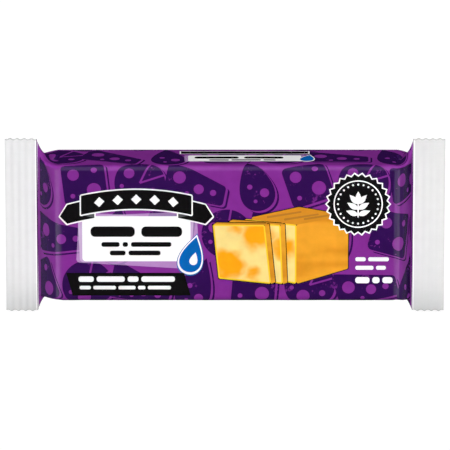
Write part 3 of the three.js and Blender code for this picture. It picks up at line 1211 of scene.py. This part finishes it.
def cheese_face_ink():
    """Cream with soft orange spots, whose outlines a noise bends."""
    material, tree, shader, place, shade = film_finish("cheese_face")
    colour_noise = noise(tree, place, *MARBLE_NOISE)["Color"]
    centred = vector_math(tree, "SUBTRACT", colour_noise, NOISE_MIDDLE).outputs[0]
    shrink = {0: centred, "Scale": MARBLE_BEND * MM}
    bend = add_node(tree, "ShaderNodeVectorMath", shrink, operation="SCALE").outputs[0]
    bent_place = vector_math(tree, "ADD", place, bend).outputs[0]
    flat_place = vector_math(tree, "MULTIPLY", bent_place, ON_THE_FLAT).outputs[0]
    spots = 0.0
    for (x, y), radius in MARBLING:
        middle = (x * MM, y * MM, 0)
        distance = vector_math(tree, "DISTANCE", flat_place, middle).outputs["Value"]
        outer, inner = radius + MARBLE_SOFTNESS, radius - MARBLE_SOFTNESS
        spot = fade(tree, distance, outer * MM, inner * MM)
        spots = combined(tree, "MAXIMUM", spot, spots)
    tint(tree, shader, add_ramp(tree, spots, (0.0, CREAM), (1.0, ORANGE)), shade)
    return material


finishes["cheese_face"] = cheese_face_ink()
print("spots in the marbling:", len(MARBLING))

# %% Streaky long side of the printed cheese
DRAWN_OUT, STREAK_NOISE = (0.25, 1.4, 1), (90, 1.5)
DARK_STREAK, LIGHT_STREAK = (0.4, (0.68, 0.257, 0.017)), (0.6, (0.815, 0.35, 0.027))


def cheese_side_ink():
    material, tree, shader, place, shade = film_finish("cheese_side")
    drawn_out = vector_math(tree, "MULTIPLY", place, DRAWN_OUT).outputs[0]
    streaks = noise(tree, drawn_out, *STREAK_NOISE)[0]
    tint(tree, shader, add_ramp(tree, streaks, DARK_STREAK, LIGHT_STREAK, "EASE"), shade)
    return material


finishes["cheese_side"] = cheese_side_ink()
print("finishes so far:", len(finishes))

# %% White film of the seals
SEAL_FINISH = {"mottle": 0.015, "roughness": 0.35, "crinkle": 0.08}
# The seals' brightest grey is a painted highlight beside the fold, and the darkest is a painted shade
# along their creased short ends.
SEAL_GREYS = {"seal_film": 0.735, "seal_edge": 0.96, "seal_rim": 0.53}

for name, grey in SEAL_GREYS.items():
    finishes[name] = plain_ink(name, (grey, grey, grey), **SEAL_FINISH)
print("finishes:", sorted(finishes))

# %% [markdown]
# ## The finished film
#
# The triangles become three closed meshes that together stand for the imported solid: the
# printed wrap and the two white seals. The seals are pieces of their own so that the wrap
# doesn't mirror them. In a real studio a black card would hide them from it. The triangles
# are uneven where the print is busy, so smooth shading alone would show them. Each point gets
# the true normal of the film instead, and the film's cut ends keep flat normals of their own.

# %% Where each piece starts and ends along the film, and the ink of its cut ends
left_seal_u, left_end_u = -LEFT_TAPER["seal_u"], -LEFT_TAPER["end_u"]
right_seal_u, right_end_u = RIGHT_TAPER["seal_u"], RIGHT_TAPER["end_u"]
FILM_PIECES = {
    "left_seal": (left_end_u, left_seal_u, "seal_film"),
    "wrap_film": (left_seal_u, right_seal_u, "purple_film"),
    "right_seal": (right_seal_u, right_end_u, "seal_film"),
}


# %% Pieces of film
def give_normals(mesh, used, skin_count):
    """The film's own normals on its skin, and flat ones on its cut ends."""
    corner_normals = np.zeros((len(mesh.loops), 3))
    for polygon in mesh.polygons:
        for loop in polygon.loop_indices:
            smooth = film_normals[used[mesh.loops[loop].vertex_index]]
            corner_normals[loop] = smooth if polygon.index < skin_count else polygon.normal
    mesh.normals_split_custom_set([tuple(normal) for normal in corner_normals])


def film_piece(name, low_u, high_u, end_ink):
    skin = [face for face, middle_u in zip(faces, face_middles) if low_u < middle_u < high_u]
    ends = closing_faces(low_u, end_ink, -1) + closing_faces(high_u, end_ink, 1)
    used = sorted({index for corners, _ in skin + ends for index in corners})
    renumbered = {index: place for place, index in enumerate(used)}
    corners_of = [[renumbered[index] for index in corners] for corners, _ in skin + ends]
    mesh = bpy.data.meshes.new(name)
    mesh.from_pydata([tuple(film_points[index]) for index in used], [], corners_of)
    inks = sorted({ink for _, ink in skin + ends})
    for ink in inks:
        mesh.materials.append(finishes[ink])
    mesh.polygons.foreach_set("material_index", [inks.index(ink) for _, ink in skin + ends])
    mesh.polygons.foreach_set("use_smooth", [True] * len(mesh.polygons))
    mesh.update()
    give_normals(mesh, used, len(skin))
    piece = bpy.data.objects.new(name, mesh)
    scene.collection.objects.link(piece)
    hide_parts("pack")
    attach(piece, "root")
    return piece


film_pieces = [film_piece(name, *ends) for name, ends in FILM_PIECES.items()]
for piece in film_pieces:
    piece.visible_glossy = piece.name == "wrap_film"  # nothing mirrors the seals
print("pieces of film:", [piece.name for piece in film_pieces])

# %% [markdown]
# ## Measuring
#
# The real pack is shut, so each piece of film has to be a closed mesh too. That could be judged
# by eye, but it is surer to count the open edges, of which there may be none, and to measure
# the volume inside.

# %% Measure the pieces
CM = 0.01

for piece in film_pieces:
    measured = bmesh.new()
    measured.from_mesh(piece.data)
    open_edges = sum(not edge.is_manifold for edge in measured.edges)
    volume = round(measured.calc_volume(signed=True) / CM**3, 1)
    triangle_count = sum(len(face.verts) - 2 for face in measured.faces)
    print(piece.name, "open edges:", open_edges, "volume in cm3:", volume)
    print(piece.name, "triangles:", triangle_count)
    measured.free()
